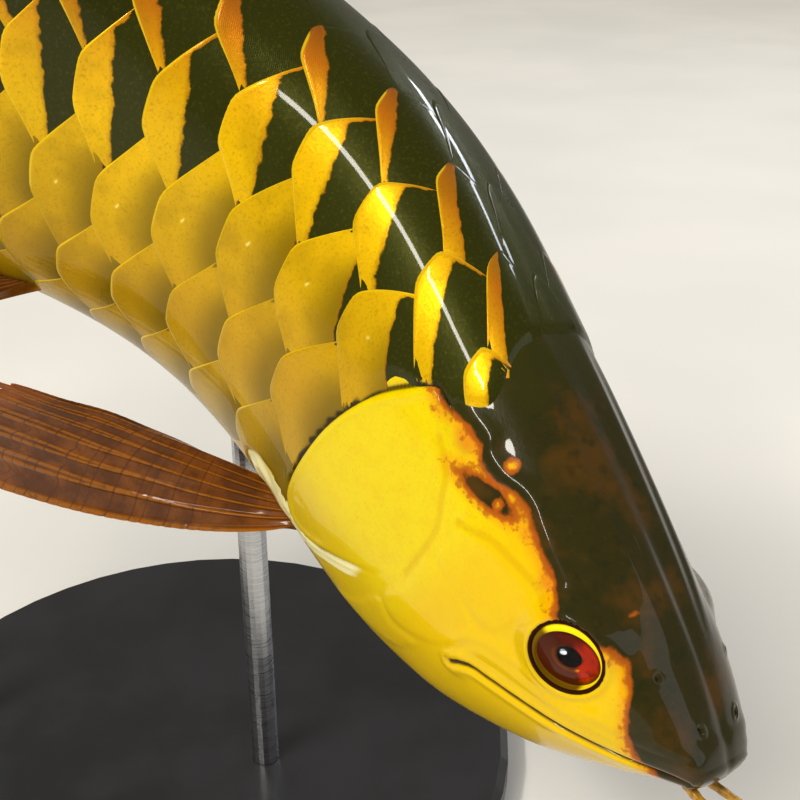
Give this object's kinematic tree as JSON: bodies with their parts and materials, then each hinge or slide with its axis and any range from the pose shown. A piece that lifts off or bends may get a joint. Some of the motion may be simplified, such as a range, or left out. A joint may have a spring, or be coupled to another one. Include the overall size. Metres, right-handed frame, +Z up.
{
  "type": "asian arowana fish model",
  "caption": "Life-size golden Asian arowana, bent as it swims nose down, with large scales, spread fins and barbels, on a round base with two rods",
  "frame": {"origin": "middle of the underside of the round stand base", "axes": "+Z is up; -Y is the side from which the picture looks; the head points to +X and -Y, and down"},
  "size_m": [0.5302, 0.3018, 0.443],
  "materials": {
    "head_bone": "wet, smooth skin over bone, dark olive above and golden yellow on the cheek",
    "jaw_skin": "smooth golden skin",
    "scales_gold": "large overlapping scales, gold with dark bases, satin to wet gloss",
    "gill_cover": "polished golden yellow bone plate",
    "eye": "clear cornea over a dark red iris",
    "barbel_skin": "soft skin",
    "fin": "orange-brown membrane with dark rays",
    "stand_lacquer": "black satin lacquer",
    "stand_steel": "brushed steel rod"
  },
  "bodies": {
    "root": {"head": "head_bone", "lower_jaw": "jaw_skin", "trunk_front": "scales_gold", "trunk_middle": "scales_gold", "trunk_rear": "scales_gold", "tail_stalk": "scales_gold", "operculum_left": "gill_cover", "operculum_right": "gill_cover", "eye_left": "eye", "eye_right": "eye", "barbel_left": "barbel_skin", "barbel_right": "barbel_skin", "pectoral_fin_left": "fin", "pectoral_fin_right": "fin", "pelvic_fin_left": "fin", "pelvic_fin_right": "fin", "dorsal_fin": "fin", "anal_fin": "fin", "caudal_fin": "fin", "stand_base": "stand_lacquer", "stand_rod_front": "stand_steel", "stand_rod_rear": "stand_steel"}
  },
  "joints": []
}
